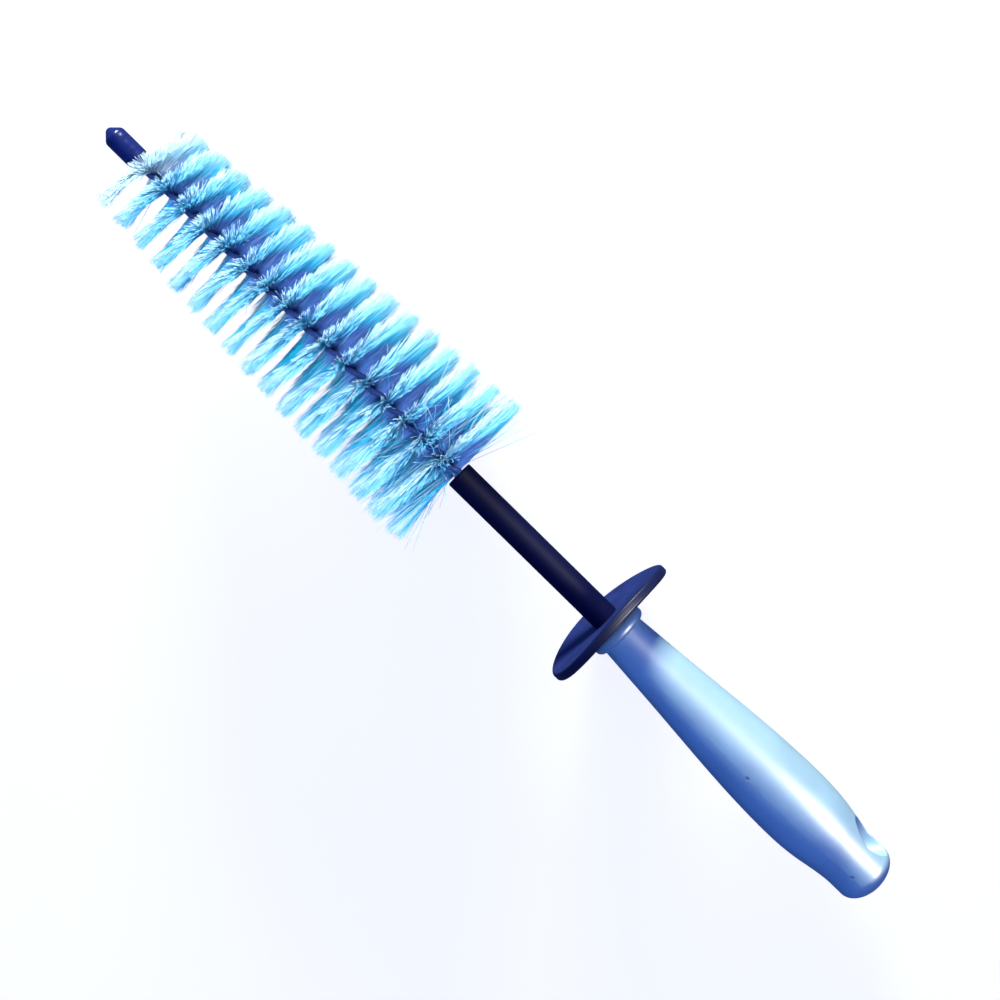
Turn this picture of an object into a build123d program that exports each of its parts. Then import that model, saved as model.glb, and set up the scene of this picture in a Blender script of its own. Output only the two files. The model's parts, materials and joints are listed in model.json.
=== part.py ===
from build123d import *
import math
import os

# A wheel brush lying on a flat surface. Lengths are in millimetres, angles in degrees.
# Each piece is first made about its own long axis, Z, with the tip of the cap at z = 0.
# At the end every piece is laid down together: the axis turns to +X, tip towards -X.
# Angles about the axis count from the row's +Y towards its +Z.

# Tip cap: a moulded thimble with a blunt cone for a nose.
cap_length = 16.6
cap_radius = 4.6
cap_point_radius = 1.0
cap_nose_length = 3.7
cap_shoulder_fillet = 2.4
cap_point_fillet = 0.9
cap_bore_depth = 11.5
cap_mouth_chamfer = 0.4

# Core: two wires twisted left-handed, with a slit between them that grips the filaments.
wire_diameter = 2.3
wire_slit = 0.25
twist_pitch = 21.4
wire_end_clearance = 0.2
core_clearance = 0.05

# Bristle head: filaments across the slit stand out as two blades, half a turn apart.
row_count = 17
steps_per_row = 12
steps_in_last_row = 2
cap_to_bristles = 0.25
head_tip_radius = 23.0
head_butt_radius = 37.0
head_fullness = 1.25
blade_root_radius = 0.9
blade_root_width = 1.8
blade_tip_width = 7.4
blade_crown = 0.8
first_row_angle = 157.5

# Stem sleeve: a thick tube drawn over the bare core between the head and the guard.
sleeve_length = 82.7
sleeve_radius = 5.8
sleeve_to_bristles = 0.3
sleeve_end_fillet = 0.5

# Guard: a rubber disc that turns on the nose of the handle and has taken a bend.
guard_radius = 31.0
guard_thickness = 4.0
guard_rim_fillet = 1.3
guard_bend = 3.4
guard_bend_angle = 55.0
guard_end_float = 0.35
guard_running_clearance = 0.06

# Handle: two welded shells that meet on the upright plane through the axis.
nose_radius = 4.5
bead_radius = 12.4
bead_width = 4.8
neck_radius = 9.6
grip_length = 146.7
belly_radius = 16.4
belly_from_neck = 94.2
throat_radius = 12.1
throat_from_neck = 31.2
swell_radius = 14.9
swell_from_neck = 63.2
taper_radius = 15.4
taper_from_end = 33.0
hip_radius = 13.3
hip_from_end = 20.0
waist_radius = 12.8
waist_from_end = 8.0
handle_wall = 2.8

# Inside of the handle: ferrule seat, ribs between cells, and pegs that line the shells up.
ferrule_from_neck = 18.2
ferrule_length = 24.0
ferrule_radius = 4.0
ferrule_collar_radius = 5.6
ferrule_collar_width = 5.0
ferrule_clearance = 0.05
cells_from_neck = 50.2
cell_count = 4
cell_length = 14.0
rib_thickness = 2.0
boss_radius = 3.6
peg_radius = 2.0
peg_length = 4.5
peg_clearance = 0.06
socket_extra_depth = 0.5

# Hanging hole: straight in the middle, with an oval dish at each side that meets the skin in a rounded lip.
hole_radius = 5.0
hole_straight_length = 14.8
hole_mouth_length = 19.4
hole_mouth_width = 13.2
hole_lip_fillet = 0.4
hole_from_end = 17.0

# Sizes worked out from the ones above.
wire_radius = wire_diameter / 2
wire_offset = wire_radius + wire_slit / 2
core_radius = wire_offset + wire_radius
core_bore_radius = core_radius + core_clearance
wire_lay = math.atan2(2 * math.pi * wire_offset, twist_pitch)
wire_end_lean = wire_radius * math.sin(wire_lay)
wire_start = cap_length - cap_bore_depth + wire_end_clearance + wire_end_lean
blade_flare = (blade_tip_width - blade_root_width) / 2
blade_at_cap = blade_flare * (cap_radius - blade_root_radius) / (head_tip_radius - blade_root_radius)
blade_at_sleeve = blade_flare * (sleeve_radius - blade_root_radius) / (head_butt_radius - blade_root_radius)
row_spacing = twist_pitch / 2
degrees_per_step = 180.0 / steps_per_row
step_length = row_spacing / steps_per_row
head_steps = (row_count - 1) * steps_per_row + steps_in_last_row
head_length = head_steps * step_length
head_start = cap_length + cap_to_bristles + blade_root_width / 2 + blade_at_cap
head_end = head_start + head_length
sleeve_start = head_end + blade_root_width / 2 + blade_at_sleeve + sleeve_to_bristles
nose_start = sleeve_start + sleeve_length
guard_front = nose_start + guard_end_float
guard_back = guard_front + guard_thickness
bead_front = guard_back + guard_end_float
bead_face_radius = bead_radius - bead_width / 2
neck = bead_front + bead_width
handle_end = neck + grip_length
waist = handle_end - waist_from_end
ferrule_start = neck + ferrule_from_neck
ferrule_end = ferrule_start + ferrule_length
wire_end = ferrule_end - wire_end_clearance - wire_end_lean
hole_place = handle_end - hole_from_end


def blade_angle(z):
    """Angle of the blades' middle at height z; it falls with z, which is a left-handed twist."""
    return first_row_angle - 360.0 * (z - head_start) / twist_pitch


def head_radius(z):
    """Reach of the bristles at height z, a cone that fills out a little towards the handle."""
    share = min(max((z - head_start) / head_length, 0.0), 1.0)
    fill = 1 - (1 - share) ** head_fullness
    return head_tip_radius + (head_butt_radius - head_tip_radius) * fill


def tube(outer, inner, start, end):
    """A plain round tube about the axis."""
    outside = Pos(0, 0, start) * extrude(Circle(outer), end - start)
    inside = Pos(0, 0, start) * extrude(Circle(inner), end - start)
    return outside - inside


def rod(radius, start, end):
    """A plain round bar about the axis."""
    return Pos(0, 0, start) * extrude(Circle(radius), end - start)


def tip_cap():
    outline = Polyline(
        (0, 0),
        (cap_point_radius, 0),
        (cap_radius, cap_nose_length),
        (cap_radius, cap_length),
        (0, cap_length),
        close=True,
    )
    face = make_face(outline)
    corners = face.vertices()
    point = corners.sort_by_distance((cap_point_radius, 0))[0]
    face = fillet(point, cap_point_fillet)
    shoulder = face.vertices().sort_by_distance((cap_radius, cap_nose_length))[0]
    face = fillet(shoulder, cap_shoulder_fillet)
    body = revolve(Plane.XZ * face, Axis.Z)
    body -= rod(core_bore_radius, cap_length - cap_bore_depth, cap_length)
    mouth = body.edges().filter_by(GeomType.CIRCLE).group_by(Axis.Z)[-1]
    return chamfer(mouth.sort_by(SortBy.RADIUS)[0], cap_mouth_chamfer)


def wire_strand(side):
    """One wire of the core, a quarter turn to the given side of the blades."""
    path = Helix(twist_pitch, wire_end - wire_start, wire_offset, lefthand=True)
    section = Plane(origin=path @ 0, z_dir=path % 0) * Circle(wire_radius)
    strand = sweep(section, path=path, is_frenet=True)
    start_angle = blade_angle(wire_start) + 90 * side
    return Pos(0, 0, wire_start) * Rot(0, 0, start_angle) * strand


def blade_section(z, turned):
    """Cross-section of a blade in the half-plane at its own angle."""
    angle = math.radians(blade_angle(z) + turned)
    reach = head_radius(z)
    corners = [
        (blade_root_radius, -blade_root_width / 2),
        (reach - blade_crown, -blade_tip_width / 2),
        (reach, 0),
        (reach - blade_crown, blade_tip_width / 2),
        (blade_root_radius, blade_root_width / 2),
    ]
    points = [(r * math.cos(angle), r * math.sin(angle), z + dz) for r, dz in corners]
    return Wire.make_polygon(points, close=True)


def bristle_row(index):
    """Both blades of one half turn of filaments; the last row stops short at the sleeve."""
    first = index * steps_per_row
    last = min(first + steps_per_row, head_steps)
    heights = [head_start + step * step_length for step in range(first, last + 1)]
    blades = []
    for turned in (0, 180):
        sections = [blade_section(z, turned) for z in heights]
        blades.append(Solid.make_loft(sections, ruled=True))
    return Compound(blades)


def stem_sleeve():
    body = tube(sleeve_radius, core_bore_radius, sleeve_start, nose_start)
    free_end = body.edges().filter_by(GeomType.CIRCLE).group_by(Axis.Z)[0]
    return fillet(free_end.sort_by(SortBy.RADIUS)[-1], sleeve_end_fillet)


def guard_disc():
    """A disc bent like a roof tile: two edges lean towards the head."""
    bend_radius = (guard_radius**2 + guard_bend**2) / (2 * guard_bend)
    middle = (guard_front + guard_back) / 2
    half = guard_thickness / 2
    shell = Circle(bend_radius + half) - Circle(bend_radius - half)
    shell = extrude(Plane.XZ * shell, guard_radius * 2, both=True)
    shell = Pos(0, 0, middle - bend_radius) * shell
    disc = shell & rod(guard_radius, guard_front - 2 * guard_bend, guard_back + guard_bend)
    rim = disc.edges().sort_by_distance((0, 0, middle))
    disc = fillet(rim, guard_rim_fillet)
    disc = Rot(0, 0, guard_bend_angle) * disc
    bore = nose_radius + guard_running_clearance
    return disc - rod(bore, guard_front - guard_bend, guard_back + guard_bend)


def handle_outline(inset):
    """Half outline of the grip from the neck to the round end, moved in by inset."""
    along = [
        (neck_radius, neck),
        (throat_radius, neck + throat_from_neck),
        (swell_radius, neck + swell_from_neck),
        (belly_radius, neck + belly_from_neck),
        (taper_radius, handle_end - taper_from_end),
        (hip_radius, handle_end - hip_from_end),
        (waist_radius, waist),
    ]
    inner = [(r - inset, z) for r, z in along]
    return Spline(*inner, tangents=[(0.08, 1), (0, 1)])


def handle_face():
    """Half section of the handle from its nose to its round end."""
    grip = handle_outline(0)
    end = EllipticalCenterArc((0, waist), waist_radius, waist_from_end, arc_size=90)
    bead = ThreePointArc(
        (bead_face_radius, bead_front),
        (bead_radius, bead_front + bead_width / 2),
        (bead_face_radius, neck),
    )
    step = Line((bead_face_radius, neck), (neck_radius, neck))
    lead_in = Polyline(
        (0, handle_end),
        (0, nose_start),
        (nose_radius, nose_start),
        (nose_radius, bead_front),
        (bead_face_radius, bead_front),
    )
    return make_face([lead_in, bead, step, grip, end])


def cell_places():
    """Start and end of each hollow cell along the axis."""
    first = neck + cells_from_neck
    pitch = cell_length + rib_thickness
    return [(first + i * pitch, first + i * pitch + cell_length) for i in range(cell_count)]


def rib_places():
    """Middle of each rib between two cells."""
    return [end + rib_thickness / 2 for start, end in cell_places()[:-1]]


def hollow_cells():
    """The space inside the grip: cells a wall thinner than the outside, less the peg bosses."""
    curve = handle_outline(handle_wall)
    closing = Polyline(curve @ 1, (0, waist), (0, neck), curve @ 0)
    inside = revolve(Plane.XZ * make_face([curve, closing]), Axis.Z)
    cells = [inside & rod(belly_radius, start, end) for start, end in cell_places()]
    bosses = [cross_rod(boss_radius, place, -belly_radius, belly_radius) for place in rib_places()]
    hollow = cells[0]
    for cell in cells[1:]:
        hollow = hollow + cell
    for boss in bosses:
        hollow = hollow - boss
    return hollow


def cross_rod(radius, place, start, end):
    """A round bar square to the parting plane, at a place along the axis."""
    return Pos(start, 0, place) * Rot(0, 90, 0) * extrude(Circle(radius), end - start)


def hanging_hole():
    """The space of the hanging hole: a straight bore that opens into an oval dish at each side.

    The dish has its full mouth at the skin, and runs on outwards at the same slope.
    """
    straight = hole_straight_length / 2
    skin = (hip_radius + waist_radius) / 2
    overrun = 1.4
    along_half = hole_radius + overrun * (hole_mouth_length / 2 - hole_radius)
    across_half = hole_radius + overrun * (hole_mouth_width / 2 - hole_radius)
    space = rod(hole_radius, -skin, skin)
    for side in (1, -1):
        throat = Pos(0, 0, side * straight) * Circle(hole_radius)
        mouth = Pos(0, 0, side * (straight + overrun * (skin - straight))) * Ellipse(along_half, across_half)
        space += loft([throat, mouth])
    return Pos(0, 0, hole_place) * Rot(0, 90, 0) * space


def hole_lip(shell):
    """The edges where the hanging hole's dish meets the skin of a shell."""
    straight = hole_straight_length / 2
    reach = hole_mouth_length / 2
    around = [edge for edge in shell.edges() if abs(edge.center().Z - hole_place) < reach]
    return [edge for edge in around if abs(edge.center().X) > straight and abs(edge.center().Y) > hole_radius]


def ferrule_solid(clearance):
    """Outer shape of the crimped ferrule, grown by a clearance for its seat."""
    middle = (ferrule_start + ferrule_end) / 2
    half_collar = ferrule_collar_width / 2 + clearance
    barrel = rod(ferrule_radius + clearance, ferrule_start - clearance, ferrule_end + clearance)
    collar = rod(ferrule_collar_radius + clearance, middle - half_collar, middle + half_collar)
    return barrel + collar


def stem_ferrule():
    bore = rod(core_bore_radius, ferrule_start, ferrule_end)
    return ferrule_solid(0) - bore


def handle_shell(side):
    """One half of the handle: side 1 holds the pegs, side -1 the sockets for them."""
    shell = Rot(0, 0, -90 * side) * revolve(Plane.XZ * handle_face(), Axis.Z, 180)
    shell -= rod(core_bore_radius, nose_start, ferrule_start)
    shell -= ferrule_solid(ferrule_clearance)
    shell -= hollow_cells()
    shell -= hanging_hole()
    shell = fillet(hole_lip(shell), hole_lip_fillet)
    socket_depth = peg_length + socket_extra_depth
    for place in rib_places():
        if side == 1:
            shell += cross_rod(peg_radius, place, -peg_length, peg_length)
        else:
            shell -= cross_rod(peg_radius + peg_clearance, place, -socket_depth, 0)
    return shell


def rest_tilt():
    """Slope of the axis when the butt of the head and the rim of the guard lie on the floor."""
    drop = head_butt_radius - guard_radius
    return math.degrees(math.atan2(drop, guard_front - head_end))


def whole_brush():
    pieces = {"tip_cap": tip_cap()}
    pieces["wire_strand_a"] = wire_strand(1)
    pieces["wire_strand_b"] = wire_strand(-1)
    for index in range(row_count):
        pieces[f"bristle_row_{index + 1:02d}"] = bristle_row(index)
    pieces["stem_sleeve"] = stem_sleeve()
    pieces["guard_disc"] = guard_disc()
    pieces["handle_shell_left"] = handle_shell(-1)
    pieces["handle_shell_right"] = handle_shell(1)
    pieces["stem_ferrule"] = stem_ferrule()
    return pieces


def lay_down(pieces):
    """Turns every piece from the Z axis to the resting pose, with the origin under the middle."""
    along_x = Plane(origin=(0, 0, 0), x_dir=(0, 1, 0), z_dir=(1, 0, 0)).location
    pose = Rot(0, rest_tilt(), 0) * along_x
    laid = {name: pose * shape for name, shape in pieces.items()}
    box = Compound([shape for shape in laid.values()]).bounding_box()
    shift = Pos(-box.center().X, 0, -box.min.Z)
    return {name: shift * shape for name, shape in laid.items()}, shift * pose


def main():
    os.makedirs("parts", exist_ok=True)
    pieces, pose = lay_down(whole_brush())
    for name, shape in pieces.items():
        export_step(shape, f"parts/{name}.step")
    for label, height in (("guard middle", guard_front + guard_thickness / 2), ("hole", hole_place)):
        print(label, (pose * Pos(0, 0, height)).position)
    print("axis", (pose * Pos(0, 0, 1)).position - pose.position, "tilt", rest_tilt())


main()
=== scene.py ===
"""A wheel brush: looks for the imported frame.

Lengths are in metres, in the row frame. Places along the brush are counted from the tip of its
cap, and angles round its axis from the row's +Y towards its +Z.
"""

import json
import math

import bpy
import numpy as np
from mathutils import Matrix, Vector

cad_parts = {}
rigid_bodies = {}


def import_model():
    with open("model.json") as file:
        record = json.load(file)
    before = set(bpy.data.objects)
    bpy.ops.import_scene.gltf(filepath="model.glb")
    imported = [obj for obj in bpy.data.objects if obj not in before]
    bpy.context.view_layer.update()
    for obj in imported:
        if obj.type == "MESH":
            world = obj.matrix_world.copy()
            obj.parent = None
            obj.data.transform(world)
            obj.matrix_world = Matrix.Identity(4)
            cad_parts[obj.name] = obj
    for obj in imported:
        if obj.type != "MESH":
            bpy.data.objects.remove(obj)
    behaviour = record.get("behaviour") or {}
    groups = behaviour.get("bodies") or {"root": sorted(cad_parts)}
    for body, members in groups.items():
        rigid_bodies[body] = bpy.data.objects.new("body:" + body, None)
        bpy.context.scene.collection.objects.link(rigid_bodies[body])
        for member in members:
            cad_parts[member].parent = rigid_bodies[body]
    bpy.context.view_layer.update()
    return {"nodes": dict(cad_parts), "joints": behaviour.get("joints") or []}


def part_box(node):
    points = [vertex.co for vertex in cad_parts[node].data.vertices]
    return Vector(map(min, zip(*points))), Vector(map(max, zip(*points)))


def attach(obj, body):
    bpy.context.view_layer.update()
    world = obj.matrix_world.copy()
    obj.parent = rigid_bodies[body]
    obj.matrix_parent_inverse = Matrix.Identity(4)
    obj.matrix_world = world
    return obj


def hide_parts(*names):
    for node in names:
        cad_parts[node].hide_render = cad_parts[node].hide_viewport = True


bl_info = {
    "name": "Wheel Brush",
    "version": (1, 0, 0),
    "blender": (4, 5, 0),
    "location": "View3D > Sidebar > Wheel Brush",
    "description": "Bristles, rubber, coated wire and moulded plastic for a wheel brush",
    "category": "Object",
}

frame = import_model()

MM = 0.001
NODES = frame["nodes"]
ROWS = sorted(name for name in NODES if name.startswith("bristle_row_"))
SPIN = next(joint for joint in frame["joints"] if joint["name"] == "guard_spin")

# The brush's own directions: along it towards the handle, level to one side, and away from the floor.
AXIS = Vector(SPIN["axis"]).normalized()
SIDE = Vector((0.0, 1.0, 0.0))
RISE = AXIS.cross(SIDE).normalized()


def span(node):
    """Start and end of a CAD node along the axis, counted from the joint's point."""
    places = [(v.co - Vector(SPIN["pos_m"])).dot(AXIS) for v in NODES[node].data.vertices]
    return min(places), max(places)


TIP = Vector(SPIN["pos_m"]) + AXIS * span("tip_cap")[0]


def along(node):
    """Start and end of a CAD node along the axis, counted from the tip of the cap."""
    start = span("tip_cap")[0]
    return tuple(place - start for place in span(node))


# ---------------------------------------------------------------------------
# Sizes and colours that a user would change
# ---------------------------------------------------------------------------


def length_prop(name, description, default):
    return bpy.props.FloatProperty(
        name=name, description=description, default=default, min=0.0, unit="LENGTH", precision=5
    )


def colour_prop(name, description, default):
    return bpy.props.FloatVectorProperty(
        name=name, description=description, default=default, subtype="COLOR", min=0.0, max=1.0
    )


class BristleSettings(bpy.types.PropertyGroup):
    """Filaments of the twisted head."""

    count: bpy.props.IntProperty(
        name="Filaments", description="Filaments in one blade of a full row", default=900, min=1
    )
    tuft: bpy.props.IntProperty(
        name="Tuft", description="Filaments whose tips draw together as one tuft", default=8, min=1
    )
    thickness: length_prop("Thickness", "Diameter of a filament", 0.24 * MM)
    root: length_prop("Root", "Distance from the axis at which a filament starts to show", 1.0 * MM)
    root_width: length_prop("Root width", "Width of a blade along the axis at the core", 1.8 * MM)
    tip_width: length_prop("Tip width", "Width of a blade along the axis at its tips", 7.4 * MM)
    pitch: length_prop("Twist", "Length of one full turn of the twisted core", 21.4 * MM)
    start_angle: bpy.props.FloatProperty(
        name="Start angle",
        description="Angle of the first filament round the axis",
        default=math.radians(157.5),
        subtype="ANGLE",
    )
    reach_tip: length_prop("Small radius", "Reach of the bristles beside the cap", 23.0 * MM)
    reach_butt: length_prop("Large radius", "Reach of the bristles beside the sleeve", 37.0 * MM)
    fullness: bpy.props.FloatProperty(
        name="Fullness", description="How early the head widens, 1 being a cone", default=1.25
    )
    body: colour_prop("Body", "Colour along a filament", (0.022, 0.58, 0.90))
    # Painted shade: the colour of the shade between the filaments and on the handle's side of a blade.
    root_shade: colour_prop("Root", "Colour deep between the filaments", (0.058, 0.14, 0.46))
    # Pale tips: partly fraying, partly a painted highlight; worn rows take a paler copy of this colour.
    tip_tint: colour_prop("Tips", "Colour of the frayed tips", (0.68, 0.88, 0.95))


class WireSettings(bpy.types.PropertyGroup):
    """The twisted core."""

    coat: colour_prop("Coating", "Colour of the wire's coating", (0.013, 0.030, 0.12))


class CapSettings(bpy.types.PropertyGroup):
    """The moulded cap over the wires' ends."""

    plastic: colour_prop("Plastic", "Colour of the cap", (0.008, 0.020, 0.15))


class SleeveSettings(bpy.types.PropertyGroup):
    """The tube over the bare core."""

    plastic: colour_prop("Plastic", "Colour of the sleeve", (0.0025, 0.0045, 0.042))


class GuardSettings(bpy.types.PropertyGroup):
    """The rubber splash guard."""

    rubber: colour_prop("Rubber", "Colour of the guard", (0.010, 0.023, 0.14))


class HandleSettings(bpy.types.PropertyGroup):
    """The moulded grip."""

    plastic: colour_prop("Plastic", "Colour of the grip", (0.34, 0.59, 0.76))
    seam: length_prop("Seam", "Half the width of the parting line", 0.16 * MM)


class StageSettings(bpy.types.PropertyGroup):
    """Floor, lights and camera."""

    lens: bpy.props.FloatProperty(
        name="Lens", description="Focal length", default=62.0, unit="CAMERA"
    )
    distance: length_prop("Distance", "From the camera to the brush", 0.688)
    lean: bpy.props.FloatProperty(
        name="Lean",
        description="Camera's lean from upright",
        default=math.radians(22.5),
        subtype="ANGLE",
    )
    roll: bpy.props.FloatProperty(
        name="Roll",
        description="Slope of the brush in the view",
        default=math.radians(44.5),
        subtype="ANGLE",
    )
    aim: length_prop("Aim", "Place along the brush at the middle of the view", 0.2118)
    aim_side: length_prop("Aim aside", "Distance of the view's middle from the axis", 0.0042)
    floor: colour_prop("Floor", "Colour of the floor", (0.40, 0.40, 0.40))
    floor_glow: bpy.props.FloatProperty(
        name="Floor glow",
        description="Light from below the board, which thins the shadows",
        default=0.85,
    )
    air: colour_prop("Air", "Colour of the light from all round", (0.14, 0.28, 1.0))
    air_light: bpy.props.FloatProperty(
        name="Air light",
        description="Strength of the light from all round",
        default=0.26,
    )


GROUPS = {
    "brush_bristles": BristleSettings,
    "brush_wires": WireSettings,
    "brush_cap": CapSettings,
    "brush_sleeve": SleeveSettings,
    "brush_guard": GuardSettings,
    "brush_handle": HandleSettings,
    "brush_stage": StageSettings,
}


# ---------------------------------------------------------------------------
# Shader maths
# ---------------------------------------------------------------------------


class Flow:
    """A shader socket in plain arithmetic: 1 - mask * 0.5 adds the Math nodes it needs."""

    def __init__(self, paint, socket):
        self.paint = paint
        self.socket = socket

    def _math(self, operation, first, second=0.0):
        return self.paint.node("ShaderNodeMath", {"operation": operation}, {0: first, 1: second})

    def __add__(self, other):
        return self._math("ADD", self, other)

    def __radd__(self, other):
        return self._math("ADD", other, self)

    def __sub__(self, other):
        return self._math("SUBTRACT", self, other)

    def __rsub__(self, other):
        return self._math("SUBTRACT", other, self)

    def __mul__(self, other):
        return self._math("MULTIPLY", self, other)

    def __rmul__(self, other):
        return self._math("MULTIPLY", other, self)

    def __mod__(self, other):
        return self._math("MODULO", self, other)

    def __abs__(self):
        return self._math("ABSOLUTE", self)

    def low(self, other):
        return self._math("MINIMUM", self, other)

    def ramp(self, start, end, first=0.0, last=1.0):
        """A smooth step from first to last as the value goes from start to end."""
        return self.paint.node(
            "ShaderNodeMapRange",
            {"interpolation_type": "SMOOTHSTEP"},
            {"Value": self, "From Min": start, "From Max": end, "To Min": first, "To Max": last},
        )


class Paint:
    """One procedural material, made node by node."""

    def __init__(self, name):
        self.material = bpy.data.materials.new(name)
        self.material.use_nodes = True
        self.tree = self.material.node_tree
        self.tree.nodes.clear()

    def node(self, kind, settings=None, sockets=None, out=0):
        """Adds a node: its settings first, then the values or links of its sockets."""
        made = self.tree.nodes.new(kind)
        for name, value in (settings or {}).items():
            setattr(made, name, value)
        for name, value in (sockets or {}).items():
            self._feed(made.inputs[name], value)
        return Flow(self, made.outputs[out]) if len(made.outputs) else None

    def _feed(self, socket, value):
        if isinstance(value, Flow):
            self.tree.links.new(value.socket, socket)
        elif hasattr(value, "__len__") and len(value) == 3 and socket.type == "RGBA":
            socket.default_value = (*value, 1.0)
        else:
            socket.default_value = value

    def place(self):
        """Where a point lies on the piece, in the row frame."""
        return self.node("ShaderNodeTexCoord", out="Object")

    def part_of(self, vector, letter):
        """One coordinate of a vector."""
        return self.node("ShaderNodeSeparateXYZ", sockets={0: vector}, out="XYZ".index(letter))

    def scaled(self, vector, by):
        """A vector stretched along each axis."""
        return self.node("ShaderNodeVectorMath", {"operation": "MULTIPLY"}, {0: vector, 1: by})

    def away(self, vector, point):
        """How far a point lies from a fixed one."""
        ends = {0: vector, 1: point}
        return self.node("ShaderNodeVectorMath", {"operation": "DISTANCE"}, ends, out=1)

    def noise(self, vector, scale, detail=3.0, roughness=0.55):
        """Clouded noise, by default rather coarse."""
        sockets = {"Vector": vector, "Scale": scale, "Detail": detail, "Roughness": roughness}
        return self.node("ShaderNodeTexNoise", sockets=sockets)

    def mix(self, factor, first, second):
        """A colour between two colours."""
        return self.node("ShaderNodeMix", {"data_type": "RGBA"}, {0: factor, 6: first, 7: second}, out=2)

    def bump(self, height, distance, strength):
        """A normal raised by a height."""
        sockets = {"Height": height, "Distance": distance, "Strength": strength}
        return self.node("ShaderNodeBump", sockets=sockets)

    def surface(self, sockets):
        """The Principled shader and the output; returns the finished material."""
        shader = self.node("ShaderNodeBsdfPrincipled", sockets=sockets)
        self.node("ShaderNodeOutputMaterial", sockets={"Surface": shader})
        return self.material


def shade(colour, by):
    """A colour made lighter or darker."""
    return tuple(min(1.0, c * by) for c in colour)


def bristle_paint(body, root_shade, tip_tint):
    """Cyan nylon with painted light: dark blue near the core as painted shade, cyan further out, and
    paler at the tips and in streaks, partly from fraying and partly as a painted highlight; worn rows
    are paler as well.

    The filaments on the handle's side of a blade carry the painted shade further out and are paled less.
    """
    paint = Paint("bristle_nylon")
    strand = {"attribute_name": "strand"}
    shades = paint.node("ShaderNodeAttribute", strand, out="Color")
    wear_here = paint.node("ShaderNodeAttribute", strand, out="Alpha")
    run, single, side = (
        paint.node("ShaderNodeSeparateColor", sockets={0: shades}, out=channel) for channel in range(3)
    )
    # Painted shade: filaments on the handle's side of a blade stay dark blue further out.
    shaded = (side + (single - 0.5) * 0.15).ramp(0.30, 0.62)
    lit = (run - shaded * 0.38 + (single - 0.5) * 0.08).ramp(0.04, 0.36)
    # Paler tips, partly from fraying and partly a painted highlight where light falls on the tips; less
    # on the painted-shade side.
    frayed_and_lit = (run + (single - 0.5) * 0.36).ramp(0.60, 0.98) * (1 - shaded * 0.55)
    lively = paint.mix(single, shade(body, 0.80), shade(body, 1.12))
    # Painted shade: near the core the filaments take the root colour, which stands for the shade between
    # them.
    colour = paint.mix(lit, root_shade, lively)
    # Pale streaks on random tufts, partly a painted highlight of lit strands, kept off the painted-shade
    # side.
    pale_lit_streaks = ((side * 7.31 + single * 0.55) % 1.0).ramp(0.66, 0.80)
    pale_lit_streaks = pale_lit_streaks * run.ramp(0.05, 0.4) * (1 - shaded * 0.8)
    # How pale a filament is: fraying and painted highlight at the tips, painted-highlight streaks, and
    # wear.
    paled = (frayed_and_lit * 0.85 + pale_lit_streaks * 0.75 + wear_here * 0.8).low(1.0)
    colour = paint.mix(paled, colour, tip_tint)
    colour = paint.mix(wear_here * run.ramp(0.0, 0.35), colour, shade(tip_tint, 1.2))
    return paint.surface(
        {
            "Base Color": colour,
            "Roughness": 0.34 + frayed_and_lit * 0.25,
            "IOR": 1.53,
            "Specular IOR Level": 0.35,
                    }
    )


def handle_paint(plastic, seam, nicks):
    """Moulded polypropylene: satin, faintly clouded, with a parting line, nicks and handling wear."""
    paint = Paint("handle_polypropylene")
    place = paint.place()
    aside = paint.part_of(place, "Y")
    nicked = 0.0
    for nick in nicks:
        away = paint.away(place, nick)
        nicked = away.ramp(0.45 * MM, 1.1 * MM, 1.0, 0.0) + nicked
    cloud = paint.noise(place, 38.0, detail=4.0)
    speck = paint.noise(place, 900.0, detail=2.0)
    colour = paint.mix(cloud.ramp(0.3, 0.7), shade(plastic, 0.93), shade(plastic, 1.06))
    line = abs(aside).ramp(0.0, seam, 1.0, 0.0)
    colour = paint.mix(line * 0.12 + nicked * 0.6, colour, shade(plastic, 0.35))
    scuff = paint.noise(paint.scaled(place, (0.25, 1.0, 1.0)), 420.0, detail=5.0, roughness=0.7)
    scuffed = scuff.ramp(0.60, 0.72)
    fine = paint.bump(speck, 0.00006, 0.35)
    relief = {"Height": 1 - line * 0.3 - nicked, "Distance": 0.0002, "Strength": 0.9, "Normal": fine}
    groove = paint.node("ShaderNodeBump", sockets=relief)
    return paint.surface(
        {
            "Base Color": colour,
            "Roughness": 0.42 + scuffed * 0.08 + cloud * 0.06,
            "Normal": groove,
            "IOR": 1.49,
            "Specular IOR Level": 0.7,
            "Coat Weight": 0.25,
            "Coat Roughness": 0.34,
        }
    )


def rubber_paint(rubber, middle, rim):
    """Moulded rubber: a soft sheen, fine grain and a bloom on its faces, with the rim darkened as
    painted shade.
    """
    paint = Paint("guard_rubber")
    place = paint.place()
    bloom = paint.noise(place, 55.0, detail=5.0)
    grain = paint.noise(place, 1500.0, detail=2.0)
    # Painted shade: the rim is darkened to 0.42 of the rubber's colour and made a little glossier.
    rim_shade = paint.away(place, middle).ramp(rim - 1.1 * MM, rim - 0.5 * MM)
    bloomed = paint.mix(bloom.ramp(0.42, 0.75), rubber, shade(rubber, 1.5))
    colour = paint.mix(rim_shade, bloomed, shade(rubber, 0.42))
    return paint.surface(
        {
            "Base Color": colour,
            "Roughness": 0.46 + bloom * 0.16 - rim_shade * 0.10,
            "Normal": paint.bump(grain, 0.00005, 0.4),
            "IOR": 1.52,
            "Specular IOR Level": 0.24,
        }
    )


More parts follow.
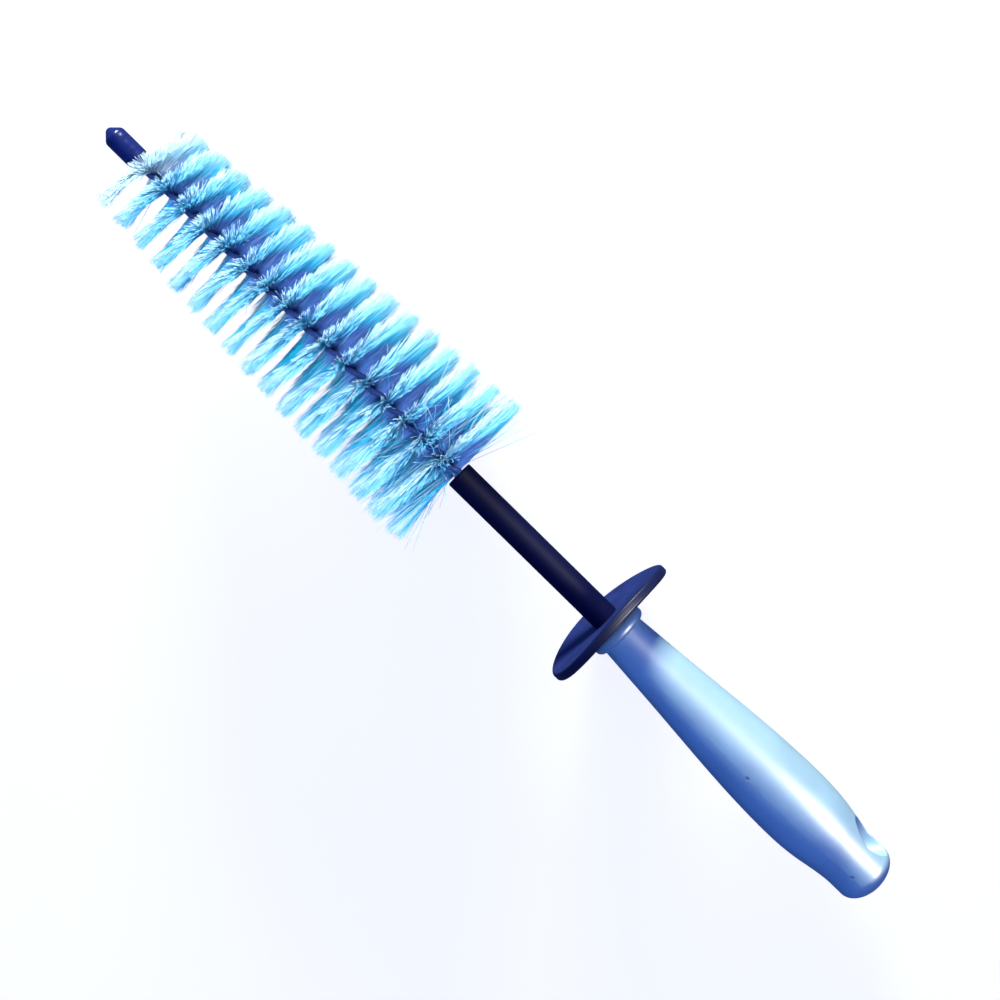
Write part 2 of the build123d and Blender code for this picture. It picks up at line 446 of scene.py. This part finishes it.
def sleeve_paint(plastic):
    """Extruded tube: near black, drawn lengthwise, a little dusty."""
    paint = Paint("sleeve_tube")
    place = paint.place()
    drawn = paint.noise(paint.scaled(place, (0.04, 1.0, 1.0)), 1400.0, detail=3.0)
    dust = paint.noise(place, 160.0, detail=6.0, roughness=0.7)
    colour = paint.mix(dust.ramp(0.55, 0.85), plastic, shade(plastic, 2.2))
    return paint.surface(
        {
            "Base Color": colour,
            "Roughness": 0.44 + dust * 0.2,
            "Normal": paint.bump(drawn, 0.00004, 0.35),
            "IOR": 1.5,
            "Specular IOR Level": 0.08,
        }
    )


def cap_paint(plastic):
    """Glossy moulded cap with hair scratches."""
    paint = Paint("cap_gloss_plastic")
    place = paint.place()
    scratch = paint.noise(paint.scaled(place, (0.3, 1.0, 1.0)), 1100.0, detail=4.0, roughness=0.7)
    wave = paint.noise(place, 190.0, detail=1.0)
    return paint.surface(
        {
            "Base Color": paint.mix(wave, shade(plastic, 0.85), shade(plastic, 1.15)),
            "Roughness": 0.26 + scratch.ramp(0.58, 0.75) * 0.18,
            "Normal": paint.bump(wave, 0.0011, 0.7),
            "IOR": 1.5,
            "Coat Weight": 0.25,
            "Coat Roughness": 0.16,
        }
    )


def wire_paint(coat):
    """Plastic-coated wire, worn lighter in random patches."""
    paint = Paint("wire_coating")
    place = paint.place()
    rub = paint.noise(place, 320.0, detail=4.0, roughness=0.65)
    colour = paint.mix(rub.ramp(0.55, 0.78), coat, shade(coat, 1.9))
    return paint.surface(
        {
            "Base Color": colour,
            "Roughness": 0.28 + rub * 0.2,
            "Normal": paint.bump(rub, 0.00008, 0.3),
            "IOR": 1.5,
        }
    )


def ferrule_paint():
    """Plain zinc-plated steel; it sits inside the grip."""
    paint = Paint("ferrule_zinc")
    place = paint.place()
    tarnish = paint.noise(place, 240.0, detail=5.0)
    colour = paint.mix(tarnish, (0.42, 0.43, 0.45), (0.62, 0.62, 0.60))
    return paint.surface({"Base Color": colour, "Metallic": 1.0, "Roughness": 0.3 + tarnish * 0.2})


def floor_paint(colour, glow):
    """Matt studio board, lit a little from below."""
    paint = Paint("studio_board")
    return paint.surface(
        {
            "Base Color": colour,
            "Roughness": 0.9,
            "Specular IOR Level": 0.1,
            "Emission Color": (1.0, 1.0, 1.0),
            "Emission Strength": glow,
        }
    )


def wear(node, material):
    """Gives a CAD node its finish."""
    slots = NODES[node].data.materials
    if len(slots) == 0:
        slots.append(material)
    for index in range(len(slots)):
        slots[index] = material


# ---------------------------------------------------------------------------
# Bristles
# ---------------------------------------------------------------------------

STRAND_SIDES = 3
STRAND_STEPS = 5
LIFT = 0.1 * MM  # least height of a filament over the floor

# Scatter of the filaments. The first value is for a tuft, the second for a filament within it.
ROOT_SCATTER = 0.45 * MM
LEAN = (0.80, 0.13)  # along the axis at the tip, in halves of the blade's width
SWING = (0.020, 0.012)  # round the axis at the tip, as a share of the reach
CURL = (0.30 * MM, 0.18 * MM)
LENGTH = (0.016, 0.014)
MEAN_LENGTH = 0.985
SHORT_SHARE = 0.05
SHORT_LENGTH = (0.55, 0.92)
GATHER = (0.25, 0.75)  # how far a tuft's tips draw together
THICKNESS_SPREAD = (0.85, 1.15)

# The messy end of the head begins at this share of it; strays have a value for the rest of the
# head, and one that is added over the messy end.
MESS_START = 0.70
STRAY_SHARE = (0.004, 0.13)
STRAY_LEAN = (0.8, 0.9)
STRAY_SWING = (0.08, 0.22)
STRAY_CURL = 1.1 * MM


def strand_mesh(name, paths, radii, colours):
    """A mesh of three-sided strands along many paths at once.

    paths holds the points of each strand, radii its radius at each point, and colours its
    run from root to tip, its own shade, its side of the blade and its wear, kept as the strand
    attribute.
    """
    count, points = paths.shape[:2]
    tangent = np.gradient(paths, axis=1)
    tangent /= np.linalg.norm(tangent, axis=2, keepdims=True)
    across = np.cross(tangent, np.array(AXIS))
    across /= np.linalg.norm(across, axis=2, keepdims=True)
    other = np.cross(tangent, across)
    turns = np.arange(STRAND_SIDES) * 2 * math.pi / STRAND_SIDES
    ring = across[:, :, None, :] * np.cos(turns)[None, None, :, None]
    ring = ring + other[:, :, None, :] * np.sin(turns)[None, None, :, None]
    verts = paths[:, :, None, :] + ring * radii[:, :, None, None]
    verts = verts.reshape(-1, 3)
    verts[:, 2] = np.maximum(verts[:, 2], LIFT)

    first = np.arange(count)[:, None, None] * points * STRAND_SIDES
    step = np.arange(points - 1)[None, :, None] * STRAND_SIDES
    side = np.arange(STRAND_SIDES)[None, None, :]
    beside = (side + 1) % STRAND_SIDES
    quads = np.stack(
        [
            first + step + side,
            first + step + beside,
            first + step + STRAND_SIDES + beside,
            first + step + STRAND_SIDES + side,
        ],
        axis=-1,
    ).reshape(-1, 4)
    ends = first[:, 0, 0]
    top = ends + (points - 1) * STRAND_SIDES
    caps = np.concatenate(
        [
            np.stack([ends + 2, ends + 1, ends], axis=-1),
            np.stack([top, top + 1, top + 2], axis=-1),
        ]
    )
    mesh = bpy.data.meshes.new(name)
    loops = np.concatenate([quads.ravel(), caps.ravel()])
    totals = np.concatenate([np.full(len(quads), 4), np.full(len(caps), 3)])
    starts = np.concatenate([[0], np.cumsum(totals)[:-1]])
    mesh.vertices.add(len(verts))
    mesh.vertices.foreach_set("co", verts.astype(np.float32).ravel())
    mesh.loops.add(len(loops))
    mesh.loops.foreach_set("vertex_index", loops.astype(np.int32))
    mesh.polygons.add(len(totals))
    mesh.polygons.foreach_set("loop_start", starts.astype(np.int32))
    mesh.update(calc_edges=True)
    mesh.validate()
    mesh.shade_smooth()
    shades = np.repeat(colours.reshape(-1, 4), STRAND_SIDES, axis=0)
    layer = mesh.color_attributes.new("strand", "FLOAT_COLOR", "POINT")
    layer.data.foreach_set("color", shades.astype(np.float32).ravel())
    made = bpy.data.objects.new(name, mesh)
    bpy.context.scene.collection.objects.link(made)
    return made


def filaments_name(node):
    """The name of the filaments that stand for a row of bristles."""
    return node.replace("bristle_row", "filaments")


def head_limits(settings):
    """Where the filaments' roots start and end along the axis."""
    half = settings.tip_width / 2
    return along(ROWS[0])[0] + half, along(ROWS[-1])[1] - half


def reach(place, settings, limits):
    """How far the bristles stand out at a place along the head."""
    share = np.clip((place - limits[0]) / (limits[1] - limits[0]), 0.0, 1.0)
    fill = 1 - (1 - share) ** settings.fullness
    return settings.reach_tip + (settings.reach_butt - settings.reach_tip) * fill


def around(angle):
    """Unit vectors square to the axis at these angles."""
    return np.cos(angle)[..., None] * np.array(SIDE) + np.sin(angle)[..., None] * np.array(RISE)


def row_strands(index, settings, rng):
    """Paths, radii and shades of the filaments of one row, both blades."""
    limits = head_limits(settings)
    spacing = settings.pitch / 2
    start = limits[0] + index * spacing
    end = min(start + spacing, limits[1])
    share = (end - start) / spacing
    tufts = max(1, round(2 * settings.count * share / settings.tuft))
    count = tufts * settings.tuft
    tuft = np.repeat(np.arange(tufts), settings.tuft)
    mess = np.clip(((start - limits[0]) / (limits[1] - limits[0]) - MESS_START) / (1 - MESS_START), 0, 1)

    centre = rng.uniform(start, end, tufts)[tuft]
    root = np.clip(centre + rng.normal(0, ROOT_SCATTER, count), start, end)
    off_centre = root - centre
    blade = rng.integers(0, 2, tufts)[tuft] * math.pi
    angle = settings.start_angle - 2 * math.pi * (root - limits[0]) / settings.pitch + blade
    turned = -2 * math.pi * off_centre / settings.pitch
    full = reach(root, settings, limits)

    half_tip = settings.tip_width / 2
    lay = rng.uniform(-1, 1, tufts)[tuft]
    lean = lay * LEAN[0] + rng.normal(0, LEAN[1], count)
    swing = rng.normal(0, SWING[0], tufts)[tuft] + rng.normal(0, SWING[1], count)
    curl = rng.normal(0, CURL[0], tufts)[tuft] + rng.normal(0, CURL[1], count)
    stray = rng.random(count) < STRAY_SHARE[0] + STRAY_SHARE[1] * mess
    lean = lean + stray * rng.normal(-0.5 * mess, STRAY_LEAN[0] + STRAY_LEAN[1] * mess, count)
    swing = swing + stray * rng.normal(0, STRAY_SWING[0] + STRAY_SWING[1] * mess, count)
    curl = curl + stray * rng.normal(0, STRAY_CURL, count)
    length = rng.normal(MEAN_LENGTH, LENGTH[0], tufts)[tuft] * rng.normal(MEAN_LENGTH, LENGTH[1], count)
    short = rng.random(count) < SHORT_SHARE
    length = np.where(short, length * rng.uniform(*SHORT_LENGTH, count), length)
    drawn = rng.uniform(*GATHER, tufts)[tuft]
    width = rng.uniform(-1, 1, count) * settings.root_width / 2

    run = np.linspace(0, 1, STRAND_STEPS + 1)[None, :]
    out = settings.root + (full * length - settings.root)[:, None] * run
    drift = width[:, None] * (1 - run) + (lean * half_tip)[:, None] * run**1.1
    drift = drift - (drawn * off_centre)[:, None] * run + curl[:, None] * (run**2 - run) * 2
    aside = (swing * full)[:, None] * run - (drawn * turned)[:, None] * out * run
    aside = aside + curl[:, None] * (run**2 - run) * 1.6
    facing = around(angle)
    tangential = np.cross(np.array(AXIS), facing)
    paths = (
        np.array(TIP)[None, None, :]
        + (root[:, None] + drift)[:, :, None] * np.array(AXIS)
        + out[:, :, None] * facing[:, None, :]
        + aside[:, :, None] * tangential[:, None, :]
    )
    thick = settings.thickness / 2 * rng.uniform(*THICKNESS_SPREAD, count)
    radii = thick[:, None] * (1.0 - 0.45 * run**3)
    worn = np.clip(1.0 - (root - limits[0]) / (1.1 * spacing), 0, 1) * 0.8
    points = STRAND_STEPS + 1
    shades = np.stack(
        [
            out / full[:, None],
            np.repeat(rng.random(count)[:, None], points, axis=1),
            np.repeat(lay[:, None] / 2 + 0.5, points, axis=1),
            np.repeat(worn[:, None], points, axis=1),
        ],
        axis=-1,
    )
    return paths, radii, shades


class BRUSH_OT_bristles(bpy.types.Operator):
    """Makes each row of bristles from its own filaments"""

    bl_idname = "wheel_brush.bristles"
    bl_label = "Bristles"

    def execute(self, context):
        settings = context.scene.brush_bristles
        paint = bristle_paint(settings.body, settings.root_shade, settings.tip_tint)
        for index, node in enumerate(ROWS):
            rng = np.random.default_rng(1000 + index)
            paths, radii, colours = row_strands(index, settings, rng)
            made = strand_mesh(filaments_name(node), paths, radii, colours)
            made.data.materials.append(paint)
            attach(made, "brush")
            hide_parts(node)
        return {"FINISHED"}


# ---------------------------------------------------------------------------
# Hard pieces
# ---------------------------------------------------------------------------


class BRUSH_OT_core(bpy.types.Operator):
    """Finishes the twisted wires and the ferrule that holds them"""

    bl_idname = "wheel_brush.core"
    bl_label = "Wire core"

    def execute(self, context):
        paint = wire_paint(context.scene.brush_wires.coat)
        for node in ("wire_strand_a", "wire_strand_b"):
            wear(node, paint)
        wear("stem_ferrule", ferrule_paint())
        return {"FINISHED"}


class BRUSH_OT_cap(bpy.types.Operator):
    """Finishes the tip cap"""

    bl_idname = "wheel_brush.cap"
    bl_label = "Tip cap"

    def execute(self, context):
        wear("tip_cap", cap_paint(context.scene.brush_cap.plastic))
        return {"FINISHED"}


class BRUSH_OT_sleeve(bpy.types.Operator):
    """Finishes the stem sleeve"""

    bl_idname = "wheel_brush.sleeve"
    bl_label = "Stem sleeve"

    def execute(self, context):
        wear("stem_sleeve", sleeve_paint(context.scene.brush_sleeve.plastic))
        return {"FINISHED"}


class BRUSH_OT_guard(bpy.types.Operator):
    """Finishes the rubber guard"""

    bl_idname = "wheel_brush.guard"
    bl_label = "Guard"

    def execute(self, context):
        low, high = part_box("guard_disc")
        rim = (high[1] - low[1]) / 2
        middle = Vector(SPIN["pos_m"])
        wear("guard_disc", rubber_paint(context.scene.brush_guard.rubber, middle, rim))
        return {"FINISHED"}


# Nicks on the parting line, from the handle's end, and how near a vertex counts for their height.
NICKS = (73.0 * MM, 13.5 * MM)
SEAM_REACH = 2 * MM


class BRUSH_OT_handle(bpy.types.Operator):
    """Finishes both shells of the handle"""

    bl_idname = "wheel_brush.handle"
    bl_label = "Handle"

    def execute(self, context):
        settings = context.scene.brush_handle
        butt = along("handle_shell_left")[1]
        nicks = [self.on_seam(butt - back) for back in NICKS]
        paint = handle_paint(settings.plastic, settings.seam, nicks)
        for node in ("handle_shell_left", "handle_shell_right"):
            wear(node, paint)
        return {"FINISHED"}

    @staticmethod
    def on_seam(place):
        """The point of the parting line that faces up at a place along the grip."""
        start = TIP + AXIS * place
        points = [v.co - start for v in NODES["handle_shell_left"].data.vertices]
        return start + RISE * max(p.dot(RISE) for p in points if abs(p.dot(AXIS)) < SEAM_REACH)


# ---------------------------------------------------------------------------
# Stage
# ---------------------------------------------------------------------------


HARD_PIECES = "hard_pieces"
COMBED = "combed_bristles"

# Soft boxes: name, side, power, place from the middle of the view, colour, pieces lit, and the kind
# of light left out. Those with no place stand in the camera's direction, this far off.
CAMERA_SIDE = 1.5
SOFT_BOXES = (
    ("key_softbox", 0.6, 98.0, (-1.45, 1.44, 0.24), (1.0, 0.90, 0.66), HARD_PIECES, None),
    ("band_softbox", 0.8, 130.0, (1.20, 1.40, 0.90), (1.0, 0.96, 0.92), HARD_PIECES, "visible_diffuse"),
    ("fill_softbox", 1.2, 11.0, None, (0.20, 0.36, 1.0), HARD_PIECES, "visible_glossy"),
    ("head_softbox", 0.5, 52.0, None, (1.0, 1.0, 1.0), COMBED, "visible_glossy"),
    ("head_side_softbox", 0.6, 22.0, (-0.9, 1.6, 0.8), (1.0, 1.0, 1.0), COMBED, None),
    ("head_shade_softbox", 1.2, 26.0, (0.3, -1.5, 0.5), (0.35, 0.60, 1.0), COMBED, None),
)


def add_light(name, side, power, place, target, colour):
    """A square soft box that faces the target."""
    data = bpy.data.lights.new(name, "AREA")
    data.shape = "SQUARE"
    data.size = side
    data.energy = power
    data.color = colour
    lamp = bpy.data.objects.new(name, data)
    lamp.location = place
    lamp.rotation_mode = "QUATERNION"
    lamp.rotation_quaternion = (Vector(target) - Vector(place)).to_track_quat("-Z", "Y")
    bpy.context.scene.collection.objects.link(lamp)
    return lamp


class BRUSH_OT_stage(bpy.types.Operator):
    """Lays the floor and sets up the soft boxes and the camera"""

    bl_idname = "wheel_brush.stage"
    bl_label = "Stage"

    def execute(self, context):
        settings = context.scene.brush_stage
        scene = context.scene
        scene.view_settings.view_transform = "Standard"
        self.lay_floor(settings)
        back = Vector((0.0, math.sin(settings.lean), math.cos(settings.lean)))
        middle = TIP + AXIS * settings.aim
        self.hang_lights(back, middle)
        world = bpy.data.worlds.new("studio_air")
        world.use_nodes = True
        air = world.node_tree.nodes["Background"].inputs
        air["Color"].default_value = (*settings.air, 1.0)
        air["Strength"].default_value = settings.air_light
        scene.world = world
        self.set_camera(settings, back, middle)
        return {"FINISHED"}

    def hang_lights(self, back, middle):
        """Sets up the soft boxes, each one lighting only its own pieces."""
        wires = [NODES["wire_strand_a"], NODES["wire_strand_b"]]
        hard = [made for made in NODES.values() if made.name not in ROWS]
        lit = {
            HARD_PIECES: hard + [bpy.data.objects["studio_floor"]],
            COMBED: [bpy.data.objects[filaments_name(row)] for row in ROWS] + wires,
        }
        groups = {name: bpy.data.collections.new(name) for name in lit}
        for name, pieces in lit.items():
            for piece in pieces:
                groups[name].objects.link(piece)
        for name, side, power, offset, colour, group, left_out in SOFT_BOXES:
            place = middle + (Vector(offset) if offset else back * CAMERA_SIDE)
            lamp = add_light(name, side, power, place, middle, colour)
            lamp.light_linking.receiver_collection = groups[group]
            if left_out:
                setattr(lamp, left_out, False)

    def lay_floor(self, settings):
        """A board under the brush, and pale walls that only the camera sees."""
        half = 4.0
        corners = [(-half, -half), (half, -half), (half, half), (-half, half)]
        low = [(x, y, 0.0) for x, y in corners]
        high = [(x, y, half) for x, y in corners]
        paint = floor_paint(settings.floor, settings.floor_glow)
        self.add_board("studio_floor", low, [(0, 1, 2, 3)], paint)
        sides = [(0, 1, 5, 4), (1, 2, 6, 5), (2, 3, 7, 6), (3, 0, 4, 7), (4, 5, 6, 7)]
        walls = self.add_board("studio_walls", low + high, sides, floor_paint(settings.floor, 1.0))
        walls.visible_shadow = False

    @staticmethod
    def add_board(name, corners, faces, paint):
        mesh = bpy.data.meshes.new(name)
        mesh.from_pydata(corners, [], faces)
        mesh.materials.append(paint)
        board = bpy.data.objects.new(name, mesh)
        board.visible_diffuse = False
        board.visible_glossy = False
        bpy.context.scene.collection.objects.link(board)
        return board

    def set_camera(self, settings, back, middle):
        """Looks down on the brush, rolled so that it runs from the upper left to the lower right."""
        down_brush = (AXIS - back * AXIS.dot(back)).normalized()
        over_brush = back.cross(down_brush)
        right = down_brush * math.cos(settings.roll) + over_brush * math.sin(settings.roll)
        up = over_brush * math.cos(settings.roll) - down_brush * math.sin(settings.roll)
        data = bpy.data.cameras.new("studio_camera")
        data.lens = settings.lens
        data.clip_start = 0.01
        camera = bpy.data.objects.new("studio_camera", data)
        turned = Matrix((right, up, back)).transposed().to_4x4()
        place = middle + over_brush * settings.aim_side + back * settings.distance
        camera.matrix_world = Matrix.Translation(place) @ turned
        bpy.context.scene.collection.objects.link(camera)
        bpy.context.scene.camera = camera


# ---------------------------------------------------------------------------
# Panel, registration and the whole brush
# ---------------------------------------------------------------------------

OPERATORS = (
    BRUSH_OT_bristles,
    BRUSH_OT_core,
    BRUSH_OT_cap,
    BRUSH_OT_sleeve,
    BRUSH_OT_guard,
    BRUSH_OT_handle,
    BRUSH_OT_stage,
)


class BRUSH_PT_pieces(bpy.types.Panel):
    """Lists the pieces of the wheel brush"""

    bl_idname = "BRUSH_PT_pieces"
    bl_label = "Wheel Brush"
    bl_space_type = "VIEW_3D"
    bl_region_type = "UI"
    bl_category = "Wheel Brush"

    def draw(self, context):
        for operator in OPERATORS:
            self.layout.operator(operator.bl_idname)
        for name, group in GROUPS.items():
            box = self.layout.box()
            for prop in group.__annotations__:
                box.prop(getattr(context.scene, name), prop)


def register():
    for name, group in GROUPS.items():
        bpy.utils.register_class(group)
        setattr(bpy.types.Scene, name, bpy.props.PointerProperty(type=group))
    for operator in OPERATORS:
        bpy.utils.register_class(operator)
    bpy.utils.register_class(BRUSH_PT_pieces)


def unregister():
    bpy.utils.unregister_class(BRUSH_PT_pieces)
    for operator in reversed(OPERATORS):
        bpy.utils.unregister_class(operator)
    for name, group in reversed(GROUPS.items()):
        delattr(bpy.types.Scene, name)
        bpy.utils.unregister_class(group)


def main():
    register()
    for operator in OPERATORS:
        group, name = operator.bl_idname.split(".")
        getattr(getattr(bpy.ops, group), name)()


if __name__ == "__main__":
    main()
